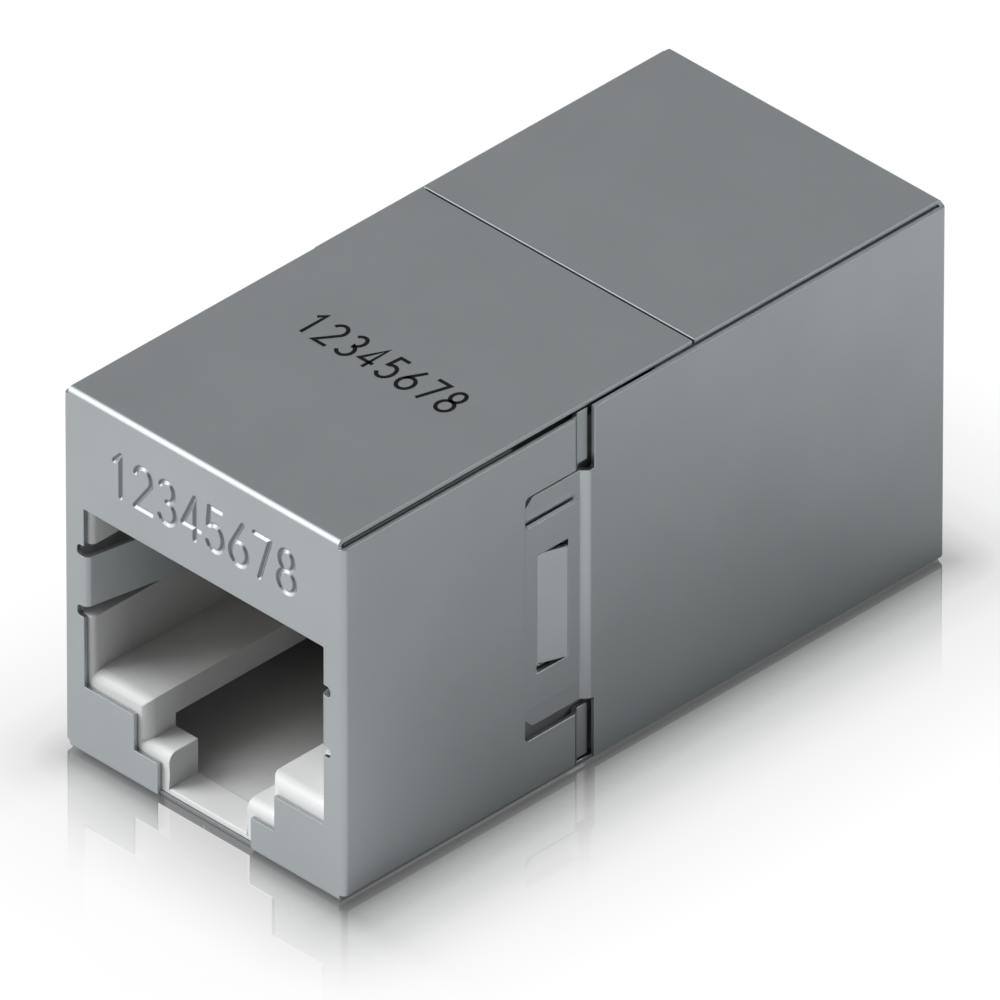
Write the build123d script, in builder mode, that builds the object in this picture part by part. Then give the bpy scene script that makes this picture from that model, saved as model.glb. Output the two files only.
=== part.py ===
from build123d import *
from math import cos, radians, sin
import os

os.makedirs("parts", exist_ok=True)

# Shielded inline coupler for two eight-contact plugs, nose to nose.
# Millimetres. The origin is on the base, under the middle of the coupler.
# +Y runs along the coupler, from the front port to the rear port, and +Z is up.

# Sheet-metal shield
sheet = 0.2               # sheet thickness
inner_bend = 0.05         # inside radius of every fold round a port face
fit = 0.03                # clearance between housing, shield and board

# Moulded housing, seen through the port
bay_width = 11.94         # plug bay, between its side walls
bay_height = 6.95         # from the ledges that carry the plug up to the roof
bay_depth = 12.3          # from the housing's front plane to the back wall
side_wall = 1.05
back_wall = 1.0
tail_room = 1.44          # behind the back wall, where the contact tails cross
roof = 0.5                # skin between the plug bay and the contact pocket
top_wall = 1.085
floor_skin = 0.26         # floor of the latch channel, at the mouth
floor_drop = 0.1          # how far the floor falls behind the latch stops
stop_height = 1.51        # latch stops, above the floor
stop_gap = 4.03           # between the two latch stops
stop_length = 1.49
channel_rise = 1.735      # from the top of the stops to the ledges
channel_width = 6.33
ledge_thickness = 1.17
undercut_width = 10.8     # room under the ledges, behind the stops

# Lead-in round the port: how far the shield's edge stands back from the plastic
reveal_side = 0.23
reveal_top = 0.28
reveal_ledge = 0.655
reveal_step = 0.465
reveal_stop = 0.48
reveal_gap = 0.4

# Rounded lead-in on the plastic, one radius for each stretch of the mouth
lead_side = 0.23
lead_ledge = 0.5          # ledges, and the channel's walls below them
lead_stop = 0.4
lead_floor = 0.06

# Contacts and their carrier
contact_count = 8
contact_pitch = 1.02
contact_width = 0.36
contact_thickness = 0.28
contact_play = 0.06       # round a contact, in the carrier's channels
carrier_height = 3.5      # the pocket above the roof
carrier_width = 9.4
carrier_front = 5.6       # from the housing's front plane
carrier_back_gap = 0.7    # from the carrier to the end of the housing
pocket_front = 3.6        # from the housing's front plane
comb_width = 8.4
comb_length = 1.2
comb_drop = 3.3           # how far the comb hangs below the roof's top
comb_slot_depth = 0.7
comb_foot = 0.5           # closed foot below the comb's slots
run_height = 0.5          # contact run, above the roof's top
row_rise = 1.2            # between the two rows of tails
row_jog = 0.8
tail_length = 3.0         # straight tail, from the housing's end to the jog
nose_front = 5.2          # foremost straight point of a contact, from the front plane
nose_radius = 0.6
arm_angle = 15.0
tip_depth = 0.42          # how far the free tips reach into the comb's slots
tail_proud = 0.4          # tails stand out behind the board
wire_bend = 0.4

# Circuit board
board_thickness = 1.2
board_margin = 0.6        # round the board, inside the shield
hole_radius = 0.27

# Folds and seams of the shield
flap_clearance = 0.06     # from the side panels in to the edge of the top and bottom panels
front_clearance = 0.12    # from the top panel down to the edge of the front side panels
rear_clearance = 0.02
top_seam = 2.61           # end of the front panels, behind mid-length
seam_gap = 0.1

# Snap joint on each side, its places measured forward of mid-length
tab_end = 3.45            # rear edge of the tab between the slots
slot_front = 6.25
slot_radius = 0.2
slot_inner = 4.05         # slot edges, above and below mid-height
slot_outer = 5.41
lug_root = 3.65
lug_end = 2.79
rear_edge = 2.69          # front edge of the rear side panels
slip = 0.07               # between a tucked sheet and the panel over it
jog_run = 0.28
jog_radius = 0.12
tongue_front = 6.53
tongue_half = 5.09        # above and below mid-height
tongue_neck = 0.18        # flat stretch between the panel's edge and the step
tongue_chamfer = 0.9
root_radius = 0.12
window_front = 5.68
window_rear = 4.04
window_half = 2.6
barb_root = 5.36
barb_length = 1.26
barb_angle = 20.5
barb_half = 2.46
barb_slit = 0.06
housing_recess = 0.2      # room in front of the tongues, in the front housing's sides

# Ground springs folded in from the sides of each port
spring_low = 2.885        # spring edges, above the ledges
spring_high = 5.115
spring_notch = 0.46       # relief notch above and below each spring
notch_depth = 0.35
notch_radius = 0.2
spring_step = 0.15        # from the opening's edge to the spring's inner face
spring_length = 4.1
spring_angle = 11.0
spring_bend = 0.2
spring_pocket = 0.63      # recess behind each spring, in the bay's side wall
spring_pocket_length = 4.9
spring_pocket_margin = 0.49

# Sizes that follow from the ones above
outer_bend = sheet + inner_bend
skin = sheet + fit
housing_width = bay_width + 2 * side_wall
housing_length = bay_depth + back_wall + tail_room
width = housing_width + 2 * skin
half_width = width / 2
half_length = skin + housing_length + fit + board_thickness / 2
front_plane = -half_length + skin
floor_z = skin + floor_skin
stop_z = floor_z + stop_height
ledge_z = stop_z + channel_rise
bay_top = ledge_z + bay_height
roof_top = bay_top + roof
pocket_top = roof_top + carrier_height
housing_top = pocket_top + top_wall
height = housing_top + skin
mid_height = height / 2
tuck = sheet + slip
side_inset = 2 * sheet + slip + fit
flap_gap = sheet + flap_clearance
front_drop = sheet + front_clearance
rear_drop = sheet + rear_clearance
tongue_jog = rear_edge + tongue_neck
spring_z0 = ledge_z + spring_low
spring_z1 = ledge_z + spring_high
run_z = roof_top + run_height
back_plane = front_plane + housing_length
nose_y = front_plane + nose_front
carrier_y = front_plane + carrier_front
carrier_length = housing_length - carrier_front - carrier_back_gap
comb_y = front_plane + bay_depth - comb_length
comb_low = roof_top - comb_drop
board_width = width - 2 * sheet - 2 * board_margin
board_height = height - 2 * sheet - 2 * board_margin
print("overall", round(width, 3), round(2 * half_length, 3), round(height, 3))


def stepped_outline(side, top, ledge, step, stop, gap, low):
    """Outline of a port: a wide bay over a channel that narrows in two steps."""
    with BuildLine() as outline:
        Polyline(
            (0, top),
            (side, top),
            (side, ledge),
            (step, ledge),
            (step, stop),
            (gap, stop),
            (gap, low),
            (0, low),
        )
        mirror(about=Plane.YZ)
    return outline.line


def shield_blank(panel_end, side_end, side_drop):
    """Port face with its four folded panels, the port opening and two ground springs."""
    reach = max(panel_end, side_end)
    with BuildPart() as blank:
        # Box of folded sheet, open at the back
        with BuildSketch(Plane.XZ.offset(half_length)):
            with Locations((0, mid_height)):
                Rectangle(width, height)
        extrude(amount=-(half_length + reach))
        fillet(blank.faces().sort_by(Axis.Y)[0].edges(), outer_bend)
        offset(amount=-sheet, openings=blank.faces().sort_by(Axis.Y)[-1])

        # Open corners between the panels
        with BuildSketch(Plane.XZ.offset(half_length)):
            for x in (-half_width, half_width):
                for z in (0, height):
                    with Locations((x, z)):
                        Rectangle(2 * flap_gap, 2 * side_drop)
        extrude(amount=-(half_length + reach), mode=Mode.SUBTRACT)

        # Each pair of panels is cut to its own length
        with BuildSketch(Plane.YZ):
            for z in (0, height):
                with Locations((panel_end, z)):
                    Rectangle(half_length, 2 * side_drop, align=(Align.MIN, Align.CENTER))
            with Locations((side_end, mid_height)):
                Rectangle(half_length, height - 2 * side_drop, align=(Align.MIN, Align.CENTER))
        extrude(amount=width, both=True, mode=Mode.SUBTRACT)

        # Port opening, open at the bottom through the fold
        with BuildSketch(Plane.XZ.offset(half_length)):
            with BuildLine():
                add(
                    stepped_outline(
                        bay_width / 2 + reveal_side,
                        bay_top + reveal_top,
                        ledge_z - reveal_ledge,
                        channel_width / 2 + reveal_step,
                        stop_z - reveal_stop,
                        stop_gap / 2 + reveal_gap,
                        -sheet,
                    )
                )
            make_face()
            with Locations((0, (spring_z0 + spring_z1) / 2)):
                Rectangle(bay_width + 2 * reveal_side + 2 * notch_depth, spring_z1 - spring_z0)
            for side in (-1, 1):
                for notch_z in (spring_z0 - spring_notch / 2, spring_z1 + spring_notch / 2):
                    with Locations((side * (bay_width / 2 + reveal_side), notch_z)):
                        RectangleRounded(2 * notch_depth, spring_notch, notch_radius)
        extrude(amount=-sheet, mode=Mode.SUBTRACT)

        # Ground springs, folded in from the opening's upright edges
        for side in (-1, 1):
            edge_x = bay_width / 2 + reveal_side - spring_step + sheet / 2
            tip_x = edge_x - spring_length * sin(radians(spring_angle))
            tip_y = -half_length + sheet / 2 + spring_length * cos(radians(spring_angle))
            with BuildSketch(Plane.XY.offset(spring_z0)):
                with BuildLine():
                    FilletPolyline(
                        (side * (edge_x + notch_depth + sheet), -half_length + sheet / 2),
                        (side * edge_x, -half_length + sheet / 2),
                        (side * tip_x, tip_y),
                        radius=spring_bend,
                    )
                trace(line_width=sheet)
            extrude(amount=spring_z1 - spring_z0)
    return blank.part


def folded_strip(points, radius, low, high):
    """Strip of sheet that follows points in plan, standing from low to high."""
    with BuildPart() as strip:
        with BuildSketch(Plane.XY.offset(low)):
            with BuildLine():
                FilletPolyline(*points, radius=radius)
            trace(line_width=sheet)
        extrude(amount=high - low)
    return strip.part


with BuildPart() as front_shell:
    add(shield_blank(top_seam, -tab_end, front_drop))

    # Each side panel has two slots, a window for the barb, and a set-back edge at the lugs
    with BuildSketch(Plane.YZ):
        for z in (-1, 1):
            slot_mid = mid_height + z * (slot_inner + slot_outer) / 2
            with Locations((-slot_front, slot_mid)):
                RectangleRounded(
                    2 * (slot_front - tab_end),
                    slot_outer - slot_inner,
                    slot_radius,
                    align=(Align.MIN, Align.CENTER),
                )
            lug_mid = mid_height + z * (slot_outer + mid_height - sheet) / 2
            with Locations((-(lug_root + tab_end) / 2, lug_mid)):
                Rectangle(lug_root - tab_end, mid_height - sheet - slot_outer)
        with Locations((-(window_front + window_rear) / 2, mid_height)):
            Rectangle(window_front - window_rear, 2 * window_half)
    extrude(amount=width, both=True, mode=Mode.SUBTRACT)

    # Lugs above and below the slots, stepped inward by a sheet
    for side in (-1, 1):
        outer_x = side * (half_width - sheet / 2)
        inner_x = side * (half_width - sheet / 2 - tuck)
        lug_points = (
            (outer_x, -lug_root - sheet),
            (outer_x, -lug_root),
            (inner_x, -lug_root + jog_run),
            (inner_x, -lug_end),
        )
        add(folded_strip(lug_points, jog_radius, front_drop, mid_height - slot_outer))
        add(folded_strip(lug_points, jog_radius, mid_height + slot_outer, height - front_drop))
front_shell.part.label = "front_shell"
export_step(front_shell.part, "parts/front_shell.step")

with BuildPart() as rear_shell:
    add(shield_blank(-top_seam - seam_gap, rear_edge, rear_drop), rotation=(0, 0, 180))

    # Tongue on each side, stepped inward under the front shell's panel
    for side in (-1, 1):
        outer_x = side * (half_width - sheet / 2)
        inner_x = side * (half_width - sheet / 2 - tuck)
        tongue_points = (
            (outer_x, -rear_edge + sheet),
            (outer_x, -tongue_jog),
            (inner_x, -tongue_jog - jog_run),
            (inner_x, -tongue_front),
        )
        add(folded_strip(tongue_points, jog_radius, mid_height - tongue_half, mid_height + tongue_half))

    # Lead-in corners, and the slit that frees the barb
    with BuildSketch(Plane.YZ):
        for z in (-1, 1):
            with BuildLine():
                Polyline(
                    (-tongue_front, mid_height + z * tongue_half),
                    (-tongue_front + tongue_chamfer, mid_height + z * tongue_half),
                    (-tongue_front, mid_height + z * (tongue_half - tongue_chamfer)),
                    close=True,
                )
            make_face()
        barb_rear = barb_root - barb_length - barb_slit
        with Locations((-(barb_root + barb_rear) / 2, mid_height)):
            Rectangle(barb_root - barb_rear, 2 * (barb_half + barb_slit))
    extrude(amount=width, both=True, mode=Mode.SUBTRACT)

    # Barb, bent outward so that its free end catches the rear edge of the window
    for side in (-1, 1):
        inner_x = side * (half_width - sheet / 2 - tuck)
        barb_points = (
            (inner_x, -barb_root - sheet),
            (inner_x, -barb_root),
            (
                inner_x + side * barb_length * sin(radians(barb_angle)),
                -barb_root + barb_length * cos(radians(barb_angle)),
            ),
        )
        add(folded_strip(barb_points, sheet, mid_height - barb_half, mid_height + barb_half))

    # Rounded corners where the tongue leaves the panel
    root_edges = (
        rear_shell.edges()
        .filter_by(Axis.X)
        .filter_by_position(Axis.Y, -rear_edge - fit, -rear_edge + fit)
        .filter_by(lambda e: abs(abs(e.center().Z - mid_height) - tongue_half) < fit)
    )
    fillet(root_edges, min(root_radius, 0.7 * tongue_neck))
rear_shell.part.label = "rear_shell"
export_step(rear_shell.part, "parts/rear_shell.step")


def port_housing(recessed):
    """Moulded port: plug bay, latch channel with its stops, and the contact pocket above."""
    with BuildPart() as housing:
        with BuildSketch(Plane.XZ.offset(-front_plane)):
            with Locations((0, (skin + housing_top) / 2)):
                Rectangle(housing_width, housing_top - skin)
        extrude(amount=-housing_length)

        # Mouth of the port, narrowed by the two latch stops
        with BuildSketch(Plane.XZ.offset(-front_plane)):
            with BuildLine():
                add(
                    stepped_outline(
                        bay_width / 2,
                        bay_top,
                        ledge_z,
                        channel_width / 2,
                        stop_z,
                        stop_gap / 2,
                        floor_z,
                    )
                )
            make_face()
        extrude(amount=-stop_length, mode=Mode.SUBTRACT)

        # Bay behind the stops: ledges carry the plug, with open room below them
        with BuildSketch(Plane.XZ.offset(-front_plane - stop_length)):
            with BuildLine():
                add(
                    stepped_outline(
                        bay_width / 2,
                        bay_top,
                        ledge_z,
                        channel_width / 2,
                        ledge_z - ledge_thickness,
                        undercut_width / 2,
                        floor_z - floor_drop,
                    )
                )
            make_face()
        extrude(amount=-(bay_depth - stop_length), mode=Mode.SUBTRACT)

        # Pocket for the contact carrier, open at the back, and its window into the bay
        with BuildSketch(Plane.XY.offset(roof_top)):
            with Locations((0, front_plane + pocket_front)):
                Rectangle(
                    carrier_width + 2 * fit,
                    housing_length - pocket_front,
                    align=(Align.CENTER, Align.MIN),
                )
        extrude(amount=carrier_height, mode=Mode.SUBTRACT)
        with BuildSketch(Plane.XY.offset(bay_top - fit)):
            with Locations((0, front_plane + pocket_front)):
                Rectangle(
                    comb_width + 2 * fit,
                    bay_depth - pocket_front,
                    align=(Align.CENTER, Align.MIN),
                )
        extrude(amount=roof + 2 * fit, mode=Mode.SUBTRACT)

        # Rounded lead-in on the front edges of the mouth, named by their middles
        side_place = (bay_width / 2, (bay_top + ledge_z) / 2)
        top_place = (0, bay_top)
        ledge_place = ((bay_width + channel_width) / 4, ledge_z)
        step_place = (channel_width / 2, (ledge_z + stop_z) / 2)
        stop_place = ((channel_width + stop_gap) / 4, stop_z)
        floor_place = (0, floor_z)
        for places, radius in (
            ([side_place], lead_side),
            ([top_place], lead_side),
            ([ledge_place, step_place], lead_ledge),
            ([stop_place], lead_stop),
            ([floor_place], lead_floor),
        ):
            mouth_edges = housing.faces().filter_by(Axis.Y).sort_by(Axis.Y)[0].edges()
            chosen = []
            for x, z in places:
                nearest = mouth_edges.sort_by(
                    lambda e: (abs(e.center().X) - x) ** 2 + (e.center().Z - z) ** 2
                )
                chosen += nearest[: 2 if x > 0 else 1]
            fillet(chosen, radius)

        # Hollow behind the bay, between the back wall and the board
        with BuildSketch(Plane.XZ.offset(-back_plane)):
            with Locations((0, (ledge_z + roof_top - top_wall) / 2)):
                Rectangle(bay_width, roof_top - top_wall - ledge_z)
        extrude(amount=tail_room, mode=Mode.SUBTRACT)

        # Recesses behind the ground springs
        with BuildSketch(Plane.XY.offset(spring_z0 - spring_pocket_margin)):
            with Locations((0, front_plane)):
                Rectangle(
                    bay_width + 2 * spring_pocket,
                    spring_pocket_length,
                    align=(Align.CENTER, Align.MIN),
                )
        extrude(amount=spring_z1 - spring_z0 + 2 * spring_pocket_margin, mode=Mode.SUBTRACT)

        # Room for the tongues and lugs that tuck in under the shield
        if recessed:
            with BuildSketch(Plane.XY.offset(skin)):
                for side in (-1, 1):
                    with Locations((side * half_width, -tongue_front - housing_recess)):
                        Rectangle(2 * side_inset, half_length, align=(Align.CENTER, Align.MIN))
            extrude(amount=housing_top - skin, mode=Mode.SUBTRACT)

    return housing.part


with BuildPart() as front_housing:
    add(port_housing(recessed=True))
front_housing.part.label = "front_housing"
export_step(front_housing.part, "parts/front_housing.step")

with BuildPart() as rear_housing:
    add(port_housing(recessed=False), rotation=(0, 0, 180))
rear_housing.part.label = "rear_housing"
export_step(rear_housing.part, "parts/rear_housing.step")


def contact_place(index):
    """Distance of a contact from the coupler's middle plane."""
    return (index - (contact_count - 1) / 2) * contact_pitch


def contact_strip(index, play):
    """Bent wire from its tail behind the board to its free tip in the port, grown by a play."""
    raised = index % 2 * row_rise
    tail_y = board_thickness / 2 + tail_proud
    with BuildPart() as strip:
        with BuildSketch(Plane.YZ.offset(contact_place(index))):
            with BuildLine():
                if raised:
                    run = FilletPolyline(
                        (tail_y, run_z + raised),
                        (back_plane - tail_length, run_z + raised),
                        (back_plane - tail_length - row_jog, run_z),
                        (nose_y, run_z),
                        radius=wire_bend,
                    )
                else:
                    run = Line((tail_y, run_z), (nose_y, run_z))
                nose = JernArc(run @ 1, run % 1, nose_radius, 180 - arm_angle)
                arm_length = (comb_y + tip_depth - (nose @ 1).X) / cos(radians(arm_angle))
                Line(nose @ 1, nose @ 1 + (nose % 1) * arm_length)
            trace(line_width=contact_thickness + 2 * play)
        extrude(amount=contact_width / 2 + play, both=True)
    return strip.part


with BuildPart() as front_contact_carrier:
    # Block that lies in the pocket, with the comb hanging into the bay
    with BuildSketch(Plane.XY.offset(roof_top + fit)):
        with Locations((0, carrier_y)):
            Rectangle(carrier_width, carrier_length, align=(Align.CENTER, Align.MIN))
    extrude(amount=carrier_height - 2 * fit)
    with BuildSketch(Plane.XY.offset(comb_low)):
        with Locations((0, comb_y)):
            Rectangle(comb_width, comb_length - fit, align=(Align.CENTER, Align.MIN))
    extrude(amount=comb_drop + 2 * fit)

    # Slots that guide the contacts' free tips
    with BuildSketch(Plane.XZ.offset(-comb_y)):
        for index in range(contact_count):
            with Locations((contact_place(index), comb_low + comb_foot)):
                Rectangle(
                    contact_width + 2 * contact_play,
                    comb_drop - comb_foot,
                    align=(Align.CENTER, Align.MIN),
                )
    extrude(amount=-comb_slot_depth, mode=Mode.SUBTRACT)

    # Channels that the contacts run through
    for index in range(contact_count):
        add(contact_strip(index, contact_play), mode=Mode.SUBTRACT)
front_contact_carrier.part.label = "front_contact_carrier"
export_step(front_contact_carrier.part, "parts/front_contact_carrier.step")

with BuildPart() as rear_contact_carrier:
    add(front_contact_carrier.part, rotation=(0, 0, 180))
rear_contact_carrier.part.label = "rear_contact_carrier"
export_step(rear_contact_carrier.part, "parts/rear_contact_carrier.step")

# Eight contacts to a port, numbered from -X to +X in the front one and back again in the rear one
for index in range(contact_count):
    number = str(index + 1)
    with BuildPart() as front_contact:
        add(contact_strip(index, 0))
    front_contact.part.label = "front_contact_" + number
    export_step(front_contact.part, "parts/front_contact_" + number + ".step")

    with BuildPart() as rear_contact:
        add(front_contact.part, rotation=(0, 0, 180))
    rear_contact.part.label = "rear_contact_" + number
    export_step(rear_contact.part, "parts/rear_contact_" + number + ".step")

with BuildPart() as circuit_board:
    with BuildSketch(Plane.XZ.offset(-board_thickness / 2)):
        with Locations((0, mid_height)):
            Rectangle(board_width, board_height)
        # Each place has a hole for the front port's tail and one for the rear port's
        for index in range(contact_count):
            for tail_z in (run_z, run_z + row_rise):
                with Locations((contact_place(index), tail_z)):
                    Circle(hole_radius, mode=Mode.SUBTRACT)
    extrude(amount=board_thickness)
circuit_board.part.label = "circuit_board"
export_step(circuit_board.part, "parts/circuit_board.step")
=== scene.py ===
from math import cos, pi, radians, sin

import bmesh
import bpy
import numpy as np
from mathutils import Matrix, Vector


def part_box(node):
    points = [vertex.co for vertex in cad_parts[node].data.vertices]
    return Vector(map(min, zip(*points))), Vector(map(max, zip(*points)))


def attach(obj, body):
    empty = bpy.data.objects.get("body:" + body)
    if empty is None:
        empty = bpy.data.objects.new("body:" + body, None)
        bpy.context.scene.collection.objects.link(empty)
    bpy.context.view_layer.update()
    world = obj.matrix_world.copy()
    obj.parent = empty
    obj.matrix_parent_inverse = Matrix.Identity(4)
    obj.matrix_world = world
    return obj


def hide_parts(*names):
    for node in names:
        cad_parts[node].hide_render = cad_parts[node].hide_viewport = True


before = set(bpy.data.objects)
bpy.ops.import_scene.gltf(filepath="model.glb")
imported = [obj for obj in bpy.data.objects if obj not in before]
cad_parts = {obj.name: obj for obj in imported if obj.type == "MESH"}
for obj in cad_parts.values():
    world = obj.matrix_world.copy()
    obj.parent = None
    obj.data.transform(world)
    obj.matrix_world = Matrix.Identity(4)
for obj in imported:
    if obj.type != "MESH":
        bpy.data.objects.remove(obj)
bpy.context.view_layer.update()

# The two halves of the shield are folded from nickel-plated sheet 0.2 mm thick and snap together.
# The plate is smooth and satin, with painted highlights on its folds and seam, and painted shade on the
# faces that look into the body.
# Their meshes are merged copies of the solids, with the stamped edges broken by a fine bevel.
MM = 0.001
PLATE_COLOUR = (0.525, 0.56, 0.577, 1.0)
PLATE_ROUGHNESS = 0.4
JOINT_PAINTED_SHINE = 1.2                       # painted highlight on the upright bends of the snap joint
JOINT_FROM = (-8.0 * MM, -7.0 * MM)
SEAM_PAINTED_SHINE = 1.45                       # painted highlight on the front edge of the rear half's top panel
SEAM_FROM = (2.5 * MM, 2.6 * MM)
FOLD_PAINTED_SHINE = 1.6                        # painted highlight on the fold between the port face and the top panel
FOLD_FROM = (-13.5 * MM, -14.5 * MM)
FOLD_ABOVE = (14.8 * MM, 15.0 * MM)
INSIDE_PAINTED_SHADE = 0.84                      # painted shade on faces of the sheet that look into the body
INSIDE_FROM = (-3.0 * MM, -5.0 * MM)
RIGHT_WALL_PAINTED_SHADE = 0.42                       # painted shade on the walls of the pressed numerals that face right
UP_WALL_PAINTED_SHINE = 1.5                       # painted highlight on the walls of the pressed numerals that face up
BUMP_HEIGHT = 0.002 * MM
STAMPED_EDGE = 0.033 * MM
SHARP_ANGLE = radians(35)
MERGE_WITHIN = 0.0005 * MM
FLAT_ANGLE = radians(0.2)


def shader_nodes(name):
    """A new material with its node tree and its shader."""
    material = bpy.data.materials.new(name)
    material.use_nodes = True
    tree = material.node_tree
    return material, tree, tree.nodes["Principled BSDF"]


def add_node(tree, kind, **settings):
    """A node of a kind, with plain settings on it and numbers on its named inputs."""
    node = tree.nodes.new("ShaderNode" + kind)
    for key, value in settings.items():
        if hasattr(node, key):
            setattr(node, key, value)
        else:
            node.inputs[key.replace("_", " ").title()].default_value = value
    return node


def feed(tree, value, socket):
    """Links a node's output to an input, or sets the input to a plain number or colour."""
    if isinstance(value, bpy.types.NodeSocket):
        tree.links.new(value, socket)
    else:
        socket.default_value = value


def calculate(tree, operation, *values, kind="Math"):
    """Result of one sum on node outputs and plain numbers, or on vectors where the kind is VectorMath."""
    node = add_node(tree, kind, operation=operation)
    for value, socket in zip(values, node.inputs):
        feed(tree, value, socket)
    is_number = kind == "Math" or operation in ("LENGTH", "DOT_PRODUCT")
    return node.outputs["Value" if is_number else "Vector"]


def axes(tree, vector):
    """The X, Y and Z of a vector."""
    node = add_node(tree, "SeparateXYZ")
    tree.links.new(vector, node.inputs["Vector"])
    return tuple(node.outputs)


def between(tree, source, low, high, smooth=True, start=0.0, end=1.0):
    """Smooth or even step from start to end as a value goes from low to high."""
    node = add_node(tree, "MapRange", interpolation_type="SMOOTHSTEP" if smooth else "LINEAR")
    numbers = {"Value": source, "From Min": low, "From Max": high, "To Min": start, "To Max": end}
    for name, value in numbers.items():
        feed(tree, value, node.inputs[name])
    return node.outputs["Result"]


def in_all(tree, *bands):
    """Share in which every band holds. A band is a value, where its smooth step starts and where it ends."""
    share = between(tree, *bands[0])
    for band in bands[1:]:
        share = calculate(tree, "MULTIPLY", share, between(tree, *band))
    return share


def blend(tree, share, base, over, how="MIX"):
    """One colour laid over another by a share, mixed or multiplied."""
    node = add_node(tree, "Mix", data_type="RGBA", blend_type=how)
    for name, value in (("Factor", share), ("A", base), ("B", over)):
        feed(tree, value, node.inputs[name])
    return node.outputs["Result"]


def grey(value):
    """A neutral colour of that level."""
    return (value, value, value, 1.0)


def shade(colour, factor):
    """A colour made lighter or darker by a factor."""
    return tuple(c * factor for c in colour[:3]) + (1.0,)


def grain(tree, scale, detail=3.0):
    """Noise on the object's own coordinates, its scale in cycles per millimetre."""
    place = add_node(tree, "TexCoord")
    turn = add_node(tree, "Mapping")
    turn.inputs["Scale"].default_value = (scale / MM,) * 3
    noise = add_node(tree, "TexNoise", detail=detail, roughness=0.55, scale=1.0)
    tree.links.new(place.outputs["Object"], turn.inputs["Vector"])
    tree.links.new(turn.outputs["Vector"], noise.inputs["Vector"])
    return noise.outputs["Fac"]


def ramp(tree, source, low, high, low_at=0.3, high_at=0.7):
    """Even run from one colour to another over part of a 0 to 1 source."""
    node = add_node(tree, "ValToRGB")
    for element, position, colour in zip(node.color_ramp.elements, (low_at, high_at), (low, high)):
        element.position = position
        element.color = colour
    tree.links.new(source, node.inputs["Fac"])
    return node.outputs["Color"]


def satin_skin(tree, shader, fine, roughness, change, bump_strength):
    """Lets a shader's roughness and a shallow bump follow a fine grain."""
    tree.links.new(
        ramp(tree, fine, grey(roughness - change), grey(roughness + change)), shader.inputs["Roughness"]
    )
    bump = add_node(tree, "Bump", strength=bump_strength, distance=BUMP_HEIGHT)
    tree.links.new(fine, bump.inputs["Height"])
    tree.links.new(bump.outputs["Normal"], shader.inputs["Normal"])


def plated_sheet(name, pressed=False):
    """Satin nickel plate: metal with a faint cloudy tone and fine grain, and with painted highlights and
    shade.

    Each effect is a painted highlight or shade that multiplies the tone by its factor where all its bands
    hold.
    The bands are on the way that a face looks and on its place. Pressed plate has the walls of the numerals
    instead.
    """
    material, tree, shader = shader_nodes(name)
    shader.inputs["Metallic"].default_value = 1.0
    place = add_node(tree, "TexCoord")
    x, y, z = axes(tree, place.outputs["Object"])
    facing_x, facing_y, facing_z = axes(tree, place.outputs["Normal"])
    if pressed:
        effects = (
            (RIGHT_WALL_PAINTED_SHADE, (facing_x, 0.15, 0.5)),
            (UP_WALL_PAINTED_SHINE, (facing_z, 0.15, 0.5)),
        )
    else:
        half_forward = (facing_y, -0.2, -0.4)
        upright = (facing_z, 0.3, 0.1)
        inward = calculate(tree, "MULTIPLY", x, facing_x)
        effects = (
            (JOINT_PAINTED_SHINE, (facing_y, -0.1, -0.33), upright, (facing_y, -0.95, -0.85), (y, *JOINT_FROM)),
            (SEAM_PAINTED_SHINE, half_forward, (facing_z, 0.2, 0.4), (y, *SEAM_FROM)),
            (FOLD_PAINTED_SHINE, half_forward, (facing_z, 0.25, 0.45), (y, *FOLD_FROM), (z, *FOLD_ABOVE)),
            (INSIDE_PAINTED_SHADE, (inward, *INSIDE_FROM)),
        )
    tone = ramp(tree, grain(tree, 0.25), shade(PLATE_COLOUR, 0.975), shade(PLATE_COLOUR, 1.025))
    for factor, *bands in effects:
        tone = blend(tree, in_all(tree, *bands), tone, grey(factor), "MULTIPLY")
    tree.links.new(tone, shader.inputs["Base Color"])
    satin_skin(tree, shader, grain(tree, 14.0), PLATE_ROUGHNESS, 0.03, 0.05)
    return material


def merged_copy(node, name):
    """Copy of a CAD node's mesh with its doubles merged, flat faces made whole and curved ones smooth."""
    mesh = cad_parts[node].data.copy()
    mesh.name = name
    mesh.materials.clear()
    for attribute in [a for a in mesh.attributes if a.name == "custom_normal"]:
        mesh.attributes.remove(attribute)
    work = bmesh.new()
    work.from_mesh(mesh)
    bmesh.ops.remove_doubles(work, verts=work.verts, dist=MERGE_WITHIN)
    bmesh.ops.dissolve_limit(
        work, angle_limit=FLAT_ANGLE, verts=work.verts, edges=work.edges, use_dissolve_boundaries=False
    )
    bmesh.ops.recalc_face_normals(work, faces=work.faces)
    work.to_mesh(mesh)
    work.free()
    piece = bpy.data.objects.new(name, mesh)
    bpy.context.scene.collection.objects.link(piece)
    mesh.shade_smooth()
    mesh.set_sharp_from_angle(angle=SHARP_ANGLE)
    return piece


def break_edges(piece, width):
    """Fine bevel on a piece's sharp edges, with its flat faces kept flat."""
    bevel = piece.modifiers.new("broken_edges", "BEVEL")
    bevel.width = width
    bevel.segments = 2
    bevel.limit_method = "ANGLE"
    bevel.angle_limit = SHARP_ANGLE
    bevel.use_clamp_overlap = False
    bevel.harden_normals = True
    bevel.miter_outer = "MITER_ARC"


def dress(piece, material, slot, *nodes):
    """Gives a piece its material and its body, and hides the CAD nodes that it stands for. Its slot is not
    used.
    """
    piece.data.materials.clear()
    piece.data.materials.append(material)
    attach(piece, "root")
    if nodes:
        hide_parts(*nodes)


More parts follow.
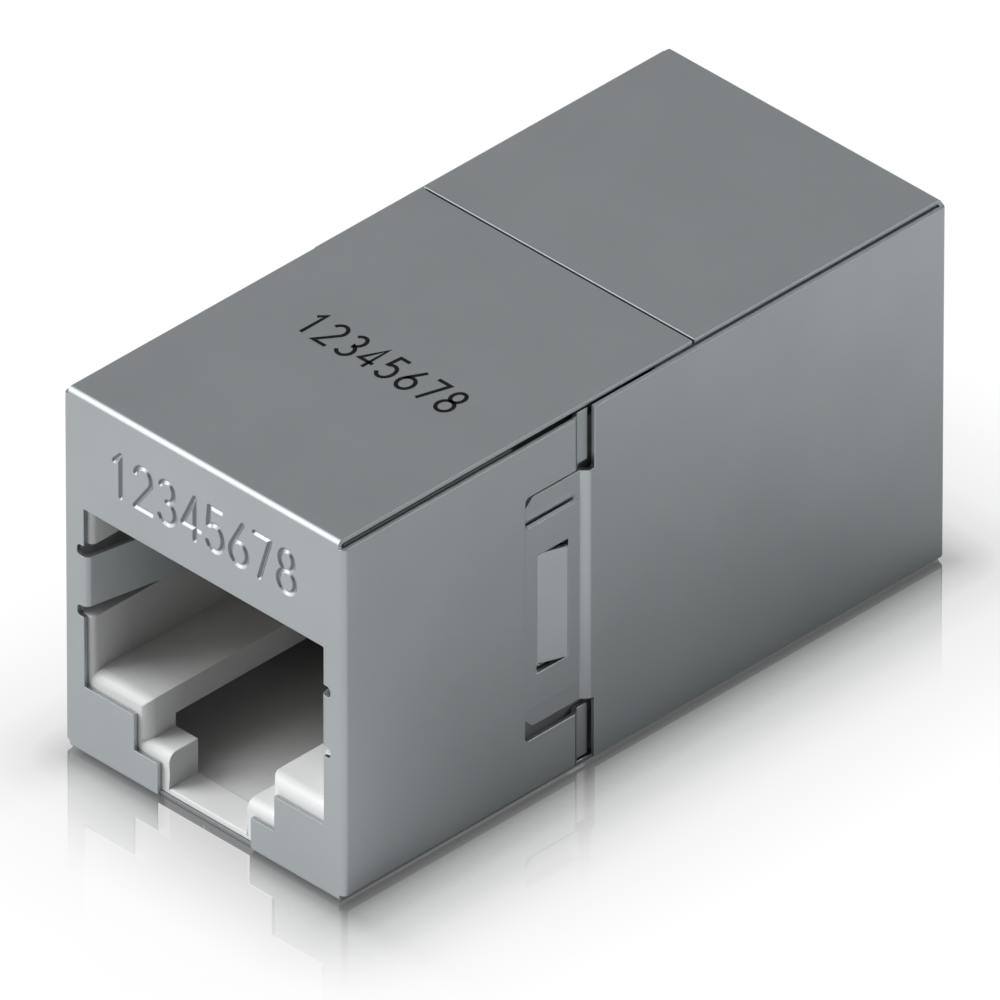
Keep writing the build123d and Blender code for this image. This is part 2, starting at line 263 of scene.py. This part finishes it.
nickel = plated_sheet("nickel_plate")
halves = {}
for end in ("front", "rear"):
    halves[end] = merged_copy(end + "_shell", end + "_shield")
    break_edges(halves[end], STAMPED_EDGE)
    dress(halves[end], nickel, "shield", end + "_shell")

# The contact numbers 1 to 8 are pressed into the port face of the front half, above the port.
# Their grooves are 0.1 mm deep and V-shaped. The zone round them is cut out of the face and made
# again as a fine grid in the same plate.
NUMBER_ZONE = (-5.2 * MM, 5.2 * MM, 12.0 * MM, 14.9 * MM)
NUMBER_BOX = (-4.75 * MM, 4.75 * MM, 12.45 * MM, 14.3 * MM)
CONTACT_COUNT = 8
NUMBER_SLIM = 0.9                       # how much slimmer the numerals are than drawn
LAST_WIDTH = 0.52                       # width of the last numeral, as drawn
GRID_STEP = 0.024 * MM
GROOVE_DEPTH = 0.1 * MM
GROOVE_HALF = 0.12 * MM
FACE_WITHIN = 0.001 * MM
face_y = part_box("front_shell")[0].y


def arc(x, y, rx, ry, start, end, count=14):
    """Points along part of an ellipse, its angles in degrees from the +X axis."""
    turn = np.radians(np.linspace(start, end, count))
    return np.stack([x + rx * np.cos(turn), y + ry * np.sin(turn)], axis=1)


def line(*points):
    """Straight stretches through points."""
    return np.array(points, float)


def numerals():
    """Strokes of the numerals 1 to 8, each in a box one unit high and about half a unit wide."""
    return (
        [line((0.1, 0.8), (0.3, 1.0), (0.3, 0.0))],
        [np.concatenate([arc(0.26, 0.74, 0.25, 0.26, 165, -32), line((0.0, 0.0), (0.52, 0.0))])],
        [np.concatenate([arc(0.25, 0.76, 0.22, 0.24, 150, -90), arc(0.25, 0.26, 0.26, 0.26, 90, -150)])],
        [line((0.38, 0.0), (0.38, 1.0), (0.0, 0.27), (0.54, 0.27))],
        [np.concatenate([
            line((0.46, 1.0), (0.09, 1.0), (0.05, 0.56)), arc(0.25, 0.31, 0.26, 0.31, 125, -150)
        ])],
        [np.concatenate([line((0.38, 1.0)), arc(0.26, 0.28, 0.26, 0.28, 150, 510, 26)])],
        [line((0.0, 1.0), (0.5, 1.0), (0.16, 0.0))],
        [arc(0.26, 0.76, 0.21, 0.24, 0, 360, 22), arc(0.26, 0.26, 0.26, 0.26, 0, 360, 26)],
    )


def number_strokes(left, right, low, high):
    """Strokes of the numerals spread evenly from left to right, as high as from low to high."""
    size = np.array((NUMBER_SLIM * (high - low), high - low))
    pitch = (right - left - LAST_WIDTH * size[0]) / (CONTACT_COUNT - 1)
    return [
        stroke * size + (left + pitch * place, low)
        for place, numeral in enumerate(numerals())
        for stroke in numeral
    ]


def new_piece(name, verts, faces):
    """A piece made of points and faces, with its place in its mesh."""
    mesh = bpy.data.meshes.new(name)
    mesh.from_pydata(verts.tolist(), [], faces.tolist())
    piece = bpy.data.objects.new(name, mesh)
    bpy.context.scene.collection.objects.link(piece)
    return piece


def clear_zone(piece):
    """Takes the rectangle of the number zone out of the flat port face, so that the grid can lie in it."""
    def on_face(face):
        """Whether a mesh face lies in the plane of the port face."""
        return face.normal.y < -0.999 and abs(face.calc_center_median().y - face_y) < FACE_WITHIN

    x0, x1, z0, z1 = NUMBER_ZONE
    cuts = [((x, 0, 0), (1, 0, 0)) for x in (x0, x1)] + [((0, 0, z), (0, 0, 1)) for z in (z0, z1)]
    work = bmesh.new()
    work.from_mesh(piece.data)
    for at, across in cuts:
        flat = [face for face in work.faces if on_face(face)]
        edges = dict.fromkeys(edge for face in flat for edge in face.edges)
        verts = dict.fromkeys(vert for face in flat for vert in face.verts)
        bmesh.ops.bisect_plane(work, geom=[*flat, *edges, *verts], plane_co=at, plane_no=across)
    gone = []
    for face in work.faces:
        middle = face.calc_center_median()
        if on_face(face) and x0 < middle.x < x1 and z0 < middle.z < z1:
            gone.append(face)
    bmesh.ops.delete(work, geom=gone, context="FACES")
    work.to_mesh(piece.data)
    work.free()


def groove_grid(strokes):
    """Port face as a grid with V-shaped grooves along the strokes.

    A point's drop is the groove's depth times one minus its distance from the nearest stroke over
    the groove's half width, and nothing past that half width.
    """
    x0, x1, z0, z1 = NUMBER_ZONE
    columns = round((x1 - x0) / GRID_STEP) + 1
    rows = round((z1 - z0) / GRID_STEP) + 1
    x, z = np.meshgrid(np.linspace(x0, x1, columns), np.linspace(z0, z1, rows))
    nearest = np.full(x.shape, 1.0)
    for stroke in strokes:
        for start, end in zip(stroke[:-1], stroke[1:]):
            run = end - start
            share = ((x - start[0]) * run[0] + (z - start[1]) * run[1]) / max(run @ run, 1e-18)
            share = np.clip(share, 0.0, 1.0)
            gap = np.hypot(x - start[0] - share * run[0], z - start[1] - share * run[1])
            nearest = np.minimum(nearest, gap)
    drop = GROOVE_DEPTH * (1 - np.clip(nearest / GROOVE_HALF, 0.0, 1.0))
    verts = np.stack([x, face_y + drop, z], axis=-1).reshape(-1, 3)
    corner = (np.arange(rows - 1)[:, None] * columns + np.arange(columns - 1)).ravel()
    faces = np.stack([corner, corner + 1, corner + columns + 1, corner + columns], axis=1)
    return new_piece("front_numbers", verts, faces)


clear_zone(halves["front"])
front_numbers = groove_grid(number_strokes(*NUMBER_BOX))
front_numbers.data.shade_smooth()
dress(front_numbers, plated_sheet("pressed_plate", pressed=True), "shield")

# The same numbers are printed on the top panel in black ink, which is a few microns thick and matt.
# Each stroke is a flat ribbon of even width that lies just above the plate.
PRINT_BOX = (-3.9 * MM, 3.9 * MM, -7.1 * MM, -5.7 * MM)
PRINT_HALF = 0.083 * MM
INK_RISE = 0.004 * MM
INK_GLOSS = 0.12
SHORTEST = 1e-12
top_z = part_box("front_shell")[1].z + INK_RISE


def mottled(name, low, high, tone_grain, smooth, rough, rough_grain):
    """Finish whose tone drifts between two colours, and its roughness between two values."""
    material, tree, shader = shader_nodes(name)
    tree.links.new(ramp(tree, grain(tree, tone_grain), low, high), shader.inputs["Base Color"])
    dull = ramp(tree, grain(tree, rough_grain), grey(smooth), grey(rough))
    tree.links.new(dull, shader.inputs["Roughness"])
    return material, shader


def ribbon(points, half):
    """Left and right edge of a stroke: each point moved across the mean of its two directions."""
    ahead = np.diff(points, axis=0)
    ahead = ahead / np.maximum(np.linalg.norm(ahead, axis=1, keepdims=True), SHORTEST)
    before = np.concatenate([ahead[:1], ahead])
    after = np.concatenate([ahead, ahead[-1:]])
    mean = before + after
    mean = mean / np.maximum(np.linalg.norm(mean, axis=1, keepdims=True), SHORTEST)
    stretch = half / np.clip((mean * after).sum(axis=1, keepdims=True), 0.5, 1.0)
    across = np.stack([-mean[:, 1], mean[:, 0]], axis=1) * stretch
    return points + across, points - across


def print_strokes(strokes):
    """Flat ribbons on the top panel.

    A stroke's left and right edge points follow in turn, with a face from each pair to the next.
    """
    verts = []
    faces = []
    first = 0
    for stroke in strokes:
        edges = np.stack(ribbon(stroke, PRINT_HALF), axis=1).reshape(-1, 2)
        verts.append(np.column_stack([edges, np.full(len(edges), top_z)]))
        at = first + 2 * np.arange(len(stroke) - 1)
        faces.append(np.stack([at, at + 1, at + 3, at + 2], axis=1))
        first += len(edges)
    return new_piece("top_print", np.concatenate(verts), np.concatenate(faces))


ink, ink_shader = mottled("black_ink", grey(0.005), grey(0.011), 5.0, 0.4, 0.5, 12.0)
ink_shader.inputs["Specular IOR Level"].default_value = INK_GLOSS
dress(print_strokes(number_strokes(*PRINT_BOX)), ink, "ink")

# The two sockets are moulded in white plastic with a fine satin skin, and slide into the shield.
# Light only gets a little way into them, so shade is painted into the plastic, darker towards the back of
# the bay, on the wall that the soft box doesn't reach, on the latch channel's left-hand walls and where the
# shield covers it.
HOUSING_COLOUR = (0.82, 0.83, 0.83, 1.0)
HOUSING_ROUGHNESS = 0.3
MOULDED_EDGE = 0.03 * MM
BAY_DEPTH = 12.3 * MM
BAY_PAINTED_TONES = (0.4, 1.04)                 # painted shade, at the back of the bay and at its mouth
SHADED_SIDE = ((0.43, 1.0), (0.6, 0.8), (0.76, 0.66), (0.84, 0.63), (0.92, 0.74), (1.0, 0.9))
SHADED_FROM = (1.7 * MM, 3.2 * MM)      # how far left of the middle, looked at from the mouth
OUTSIDE_FROM = (6.7 * MM, 6.9 * MM)     # the socket's outer walls, on both sides
# Painted shade on the top of the socket's sides, where the shield covers them.
COVERED_FROM = (6.2 * MM, 6.4 * MM)
COVERED_ABOVE = (15.0 * MM, 15.2 * MM)
COVERED_PAINTED_SHADE = 0.2
CHANNEL_BELOW = (2.1 * MM, 1.9 * MM)
CHANNEL_PAINTED_SHADE = 0.7                      # painted shade on the left-hand walls of the latch channel
mouth_y = abs(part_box("front_housing")[0].y)


def through(tree, source, stops, interpolation="LINEAR"):
    """Grey that runs through stops, each a place from 0 to 1 and a level."""
    node = add_node(tree, "ValToRGB")
    node.color_ramp.interpolation = interpolation
    while len(node.color_ramp.elements) < len(stops):
        node.color_ramp.elements.new(0.5)
    for element, (at, level) in zip(node.color_ramp.elements, stops):
        element.position = at
        element.color = grey(level)
    tree.links.new(source, node.inputs["Fac"])
    return node.outputs["Color"]


def moulded_plastic(name, colour, roughness):
    """Moulded plastic: satin, with a faint texture from the mould and with painted shade deep in the bay."""
    material, tree, shader = shader_nodes(name)
    place = add_node(tree, "TexCoord")
    x, y, z = axes(tree, place.outputs["Object"])
    facing_x, _, _ = axes(tree, place.outputs["Normal"])
    end = calculate(tree, "SIGN", y)
    beside = calculate(tree, "ABSOLUTE", x)
    aside = calculate(tree, "MULTIPLY", x, end)
    turned = calculate(tree, "MULTIPLY", facing_x, end)
    depth = between(tree, calculate(tree, "ABSOLUTE", y), mouth_y - BAY_DEPTH, mouth_y, smooth=False)
    tone = ramp(tree, depth, shade(colour, BAY_PAINTED_TONES[0]), shade(colour, BAY_PAINTED_TONES[1]), 0.1, 0.9)
    side = between(tree, aside, *SHADED_FROM)
    tone = blend(tree, side, tone, through(tree, depth, SHADED_SIDE), "MULTIPLY")
    tone = blend(tree, between(tree, beside, *OUTSIDE_FROM), tone, colour)
    covered = in_all(tree, (beside, *COVERED_FROM), (z, *COVERED_ABOVE))
    tone = blend(tree, covered, tone, grey(COVERED_PAINTED_SHADE), "MULTIPLY")
    channel = in_all(tree, (turned, -0.1, -0.6), (z, *CHANNEL_BELOW))
    tone = blend(tree, channel, tone, grey(CHANNEL_PAINTED_SHADE), "MULTIPLY")
    speckle = grain(tree, 4.0, 1.0)
    tone = blend(tree, 1.0, tone, ramp(tree, speckle, grey(0.985), grey(1.0)), "MULTIPLY")
    tree.links.new(tone, shader.inputs["Base Color"])
    shader.inputs["Specular IOR Level"].default_value = 0.5
    satin_skin(tree, shader, speckle, roughness, 0.02, 0.03)
    return material


white_plastic = moulded_plastic("white_plastic", HOUSING_COLOUR, HOUSING_ROUGHNESS)
for end in ("front", "rear"):
    socket = merged_copy(end + "_housing", end + "_socket")
    break_edges(socket, MOULDED_EDGE)
    dress(socket, white_plastic, "housing", end + "_housing")

# The contact carriers are small moulded blocks that push into the back of the sockets.
# They hold the contacts, and their plastic is a little yellower and duller than the sockets'.
CARRIER_COLOUR = (0.74, 0.73, 0.68, 1.0)
CARRIER_ROUGHNESS = 0.4
carrier_plastic = moulded_plastic("carrier_plastic", CARRIER_COLOUR, CARRIER_ROUGHNESS)
for end in ("front", "rear"):
    carrier = merged_copy(end + "_contact_carrier", end + "_carrier")
    dress(carrier, carrier_plastic, "carrier", end + "_contact_carrier")

# The contacts are spring wire with a gold plate, eight at each end.
# They are bent to shape, pressed into the carriers, and their tails stand in the board's holes.
GOLD_DEEP = (0.72, 0.47, 0.16, 1)
GOLD_PALE = (0.86, 0.6, 0.24, 1)
gold, gold_shader = mottled("gold_plate", GOLD_DEEP, GOLD_PALE, 6.0, 0.18, 0.28, 20.0)
gold_shader.inputs["Metallic"].default_value = 1.0
for end in ("front", "rear"):
    for number in range(1, CONTACT_COUNT + 1):
        node = end + "_contact_" + str(number)
        dress(merged_copy(node, end + "_wire_" + str(number)), gold, "contact", node)

# The circuit board stands across the body between the two sockets and joins their contacts.
# It is glass-fibre laminate under green solder mask.
MASK_DEEP = (0.012, 0.09, 0.03, 1.0)
MASK_PALE = (0.02, 0.13, 0.05, 1.0)
solder_mask, _ = mottled("solder_mask", MASK_DEEP, MASK_PALE, 1.5, 0.3, 0.4, 8.0)
dress(merged_copy("circuit_board", "board"), solder_mask, "board", "circuit_board")

# The coupler stands on a wide pale floor, which keeps its soft shadow and mirrors it faintly.
# The eye sees it nearly white, with the contact shadow and the port's mirror image painted on it.
# The metal sees a darker floor, and from below it is clear.
FLOOR_HALF = 1.5
FLOOR_LEVEL = -0.006 * MM
FLOOR_GREY = 0.55                       # what lights the part from below
FLOOR_WHITE = 0.95                      # what the eye sees
FLOOR_GLOW = 0.95                       # how much of what the eye sees is painted
GLOW_STRENGTH = 1.03
METAL_GLOW = (                          # painted glow of the floor that the metal mirrors, by place along Y in mm
    (-20.0, 0.51), (-13.0, 0.34), (-6.0, 0.15), (3.0, 0.14),
    (13.0, 0.16), (16.5, 0.25), (22.0, 0.22), (30.0, 0.36),
)
CONTACT_REACH = 10.0 * MM
CONTACT_SHIFT = 0.5 * MM
CONTACT_TONES = (                       # shadow by distance, as a share of its reach
    (0.0, 0.16), (0.045, 0.28), (0.09, 0.44), (0.2, 0.71),
    (0.36, 0.865), (0.5, 0.91), (0.7, 0.95), (1.0, 1.0),
)
MIRROR_TINT = 0.35
MIRROR_ROUGHNESS = 0.02
MIRROR_SHARE = 0.35
MIRROR_REACH = 6.0 * MM
MOUTH_OUTLINE = ((0.0, 0.0), (0.15, 2.38), (1.38, 3.55), (3.1, 6.15), (11.3, 0.0))
MOUTH_SPAN = 16.0                       # mm ahead of the port face that the outline is measured over
MOUTH_EDGE = 0.03 * MM
MOUTH_LIFT = 0.78                       # light that the white socket throws on the floor
MOUTH_MIRROR = 0.65
FRONT_LIFT = 0.4                        # light that the port face throws on the floor
FRONT_FADE = 1.4 * MM
SIDE_FADE = 2.5 * MM
LIFTED_TONE = 0.97
half_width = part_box("front_shell")[1].x
half_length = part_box("rear_shell")[1].y


def from_body(tree, spot):
    """Distance from the body's base.

    It is the length of what is left of a point's distance from the middle, on each axis, past the
    body's half size there. The base is taken a little short on the left, which is the lit side.
    """
    middle = calculate(tree, "SUBTRACT", spot, (CONTACT_SHIFT, 0.0, 0.0), kind="VectorMath")
    spread = calculate(tree, "ABSOLUTE", middle, kind="VectorMath")
    base = (half_width - CONTACT_SHIFT, half_length, 0.0)
    beyond = calculate(tree, "SUBTRACT", spread, base, kind="VectorMath")
    outside = calculate(tree, "MAXIMUM", beyond, (0.0, 0.0, 0.0), kind="VectorMath")
    return calculate(tree, "LENGTH", outside, kind="VectorMath")


def mouth_image(tree, x, y):
    """Share of the floor on which the mirror image of the socket's stepped mouth is painted.

    The outline gives the image's half width at each distance ahead of the port face. The image runs
    along the line on which X and Y together equal minus the body's half length.
    """
    ahead = between(tree, y, -half_length, -half_length - MOUTH_SPAN * MM, smooth=False)
    stops = [(at / MOUTH_SPAN, half / MOUTH_SPAN) for at, half in MOUTH_OUTLINE]
    half = calculate(tree, "MULTIPLY", through(tree, ahead, stops, "CONSTANT"), MOUTH_SPAN * MM)
    slant = calculate(tree, "ADD", calculate(tree, "ADD", x, y), half_length)
    inside = calculate(tree, "SUBTRACT", half, calculate(tree, "ABSOLUTE", slant))
    return between(tree, inside, -MOUTH_EDGE, MOUTH_EDGE, smooth=False)


def mixed_shader(tree, share, base, over):
    """One shader laid over another by a share."""
    node = add_node(tree, "MixShader")
    for socket, value in zip(node.inputs, (share, base, over)):
        tree.links.new(value, socket)
    return node.outputs["Shader"]


def pale_floor(name):
    """Floor's material: painted tones for the eye and the metal, real shade for the rest, and a mirror."""
    material, tree, shader = shader_nodes(name)
    shader.inputs["Roughness"].default_value = 0.9
    shader.inputs["Specular IOR Level"].default_value = 0.0
    spot = add_node(tree, "TexCoord").outputs["Object"]
    x, y, _ = axes(tree, spot)
    path = add_node(tree, "LightPath").outputs
    direct = calculate(tree, "MAXIMUM", path["Is Camera Ray"], path["Is Transmission Ray"])
    away = from_body(tree, spot)
    in_front = calculate(tree, "LESS_THAN", y, -half_length)
    mouth = calculate(tree, "MULTIPLY", mouth_image(tree, x, y), in_front)
    contact = through(tree, between(tree, away, 0.0, CONTACT_REACH, smooth=False), CONTACT_TONES)
    before_port = in_all(
        tree, (y, -half_length, -half_length - FRONT_FADE), (x, -half_width, -half_width + SIDE_FADE)
    )
    lift = calculate(
        tree,
        "MAXIMUM",
        calculate(tree, "MULTIPLY", mouth, MOUTH_LIFT),
        calculate(tree, "MULTIPLY", before_port, FRONT_LIFT),
    )
    painted = blend(tree, lift, contact, grey(LIFTED_TONE))
    metal_front = calculate(tree, "MULTIPLY", in_front, path["Is Glossy Ray"])
    painted = blend(tree, metal_front, painted, grey(1.0))
    glow = add_node(tree, "Emission", strength=GLOW_STRENGTH)
    tree.links.new(painted, glow.inputs["Color"])
    tree.links.new(blend(tree, direct, grey(FLOOR_GREY), grey(FLOOR_WHITE)), shader.inputs["Base Color"])
    first, last = METAL_GLOW[0][0], METAL_GLOW[-1][0]
    stops = [((at - first) / (last - first), level) for at, level in METAL_GLOW]
    along = between(tree, y, first * MM, last * MM, smooth=False)
    for_metal = calculate(tree, "MULTIPLY", path["Is Glossy Ray"], through(tree, along, stops))
    share = calculate(tree, "MULTIPLY_ADD", direct, FLOOR_GLOW, for_metal)
    lit = mixed_shader(tree, share, shader.outputs["BSDF"], glow.outputs["Emission"])
    mirror = add_node(tree, "BsdfGlossy", roughness=MIRROR_ROUGHNESS)
    mirror.inputs["Color"].default_value = grey(MIRROR_TINT)
    fade = between(tree, away, 0.0, MIRROR_REACH, start=MIRROR_SHARE, end=0.0)
    unlit = between(tree, mouth, 0.0, 1.0, smooth=False, start=1.0, end=MOUTH_MIRROR)
    mirrored = calculate(tree, "MULTIPLY", calculate(tree, "MULTIPLY", fade, unlit), direct)
    seen = mixed_shader(tree, mirrored, lit, mirror.outputs["BSDF"])
    below = add_node(tree, "NewGeometry").outputs["Backfacing"]
    clear = add_node(tree, "BsdfTransparent").outputs["BSDF"]
    surface = mixed_shader(tree, below, seen, clear)
    tree.links.new(surface, tree.nodes["Material Output"].inputs["Surface"])
    return material


corners = np.array([(-1, -1), (1, -1), (1, 1), (-1, 1)]) * FLOOR_HALF
floor = new_piece("floor", np.column_stack([corners, np.full(4, FLOOR_LEVEL)]), np.array([(0, 1, 2, 3)]))
floor.data.materials.append(pale_floor("white_floor"))

# The light is a broad soft box high in front on the left, in a plain studio.
# The metal doesn't mirror the soft box. It mirrors round pale panels in the room instead.
KEY_LEVEL = 4.75
KEY_SIZE = 0.45
KEY_DISTANCE = 0.7
KEY_TOWARD = (-0.55, -0.5, 0.67)
ROOM_LEVEL = 0.1
PANELS = (                              # towards, level, and angles where full and where gone
    ((-0.6, -0.6, 0.5), 0.9, 10.0, 65.0),       # wide, front left
    ((-0.58, -0.57, 0.58), 1.6, 6.0, 16.0),     # small, front left, for the folds
    ((-0.58, 0.58, 0.57), 0.255, 20.0, 80.0),   # wide, back left
    ((0.57, 0.58, 0.58), 2.6, 6.0, 18.0),       # back right
    ((-0.8, 0.0, 0.6), -0.35, 6.0, 24.0),       # dim patch on the left
    ((-0.581, 0.581, 0.57), 2.5, 1.1, 1.7),     # small card, back left, that the floor mirrors
)
key_data = bpy.data.lights.new("soft_box", "AREA")
key_data.shape = "SQUARE"
key_data.size = KEY_SIZE
key_data.energy = KEY_LEVEL * pi * KEY_SIZE**2
key_light = bpy.data.objects.new("soft_box", key_data)
bpy.context.scene.collection.objects.link(key_light)
key_light.visible_glossy = False
key_aim = Vector(KEY_TOWARD).normalized()
key_light.location = key_aim * KEY_DISTANCE
key_light.rotation_mode = "QUATERNION"
key_light.rotation_quaternion = key_aim.to_track_quat("Z", "Y")

world = bpy.data.worlds.new("studio")
bpy.context.scene.world = world
world.use_nodes = True
sky = world.node_tree
around = add_node(sky, "TexCoord").outputs["Generated"]
level = ROOM_LEVEL
for toward, strength, core, edge in PANELS:
    across = calculate(sky, "DOT_PRODUCT", around, Vector(toward).normalized(), kind="VectorMath")
    panel = between(sky, across, cos(radians(edge)), cos(radians(core)), end=strength)
    level = calculate(sky, "ADD", level, panel)
seen = add_node(sky, "LightPath").outputs["Is Camera Ray"]
backdrop = add_node(sky, "Mix", data_type="FLOAT")
for name, value in (("Factor", seen), ("A", level), ("B", 1.0)):
    feed(sky, value, backdrop.inputs[name])
sky.links.new(backdrop.outputs["Result"], sky.nodes["Background"].inputs["Strength"])
sky.nodes["Background"].inputs["Color"].default_value = grey(1.0)

# The camera has a long lens and stands far off, so that the view is almost parallel.
# It looks down on the coupler from the front and the right.
VIEW_AZIMUTH = radians(44.9722)
VIEW_ELEVATION = radians(34.7541)
VIEW_ROLL = radians(0.0256)
VIEW_DISTANCE = 1730.0 * MM
PIXELS_PER_MM = 27.3238
FRAME_PIXELS = 1000
SENSOR_WIDTH = 36.0
AIM_POINT = Vector((0.0, -0.0643, 7.975)) * MM
OFF_CENTRE = (0.1782 * MM, 0.96 * MM)
camera_data = bpy.data.cameras.new("camera")
camera = bpy.data.objects.new("camera", camera_data)
bpy.context.scene.collection.objects.link(camera)
bpy.context.scene.camera = camera
toward = Vector((
    sin(VIEW_AZIMUTH) * cos(VIEW_ELEVATION),
    -cos(VIEW_AZIMUTH) * cos(VIEW_ELEVATION),
    sin(VIEW_ELEVATION),
))
level_right = Vector((cos(VIEW_AZIMUTH), sin(VIEW_AZIMUTH), 0.0))
level_up = toward.cross(level_right)
right = level_right * cos(VIEW_ROLL) + level_up * sin(VIEW_ROLL)
up = toward.cross(right)
stand = AIM_POINT + toward * VIEW_DISTANCE - right * OFF_CENTRE[0] - up * OFF_CENTRE[1]
camera.matrix_world = Matrix.Translation(stand) @ Matrix((right, up, toward)).transposed().to_4x4()
camera_data.sensor_width = SENSOR_WIDTH
camera_data.lens = PIXELS_PER_MM * VIEW_DISTANCE / MM * SENSOR_WIDTH / FRAME_PIXELS
camera_data.clip_start = 0.01
camera_data.clip_end = 20.0
bpy.context.scene.view_settings.view_transform = "Standard"
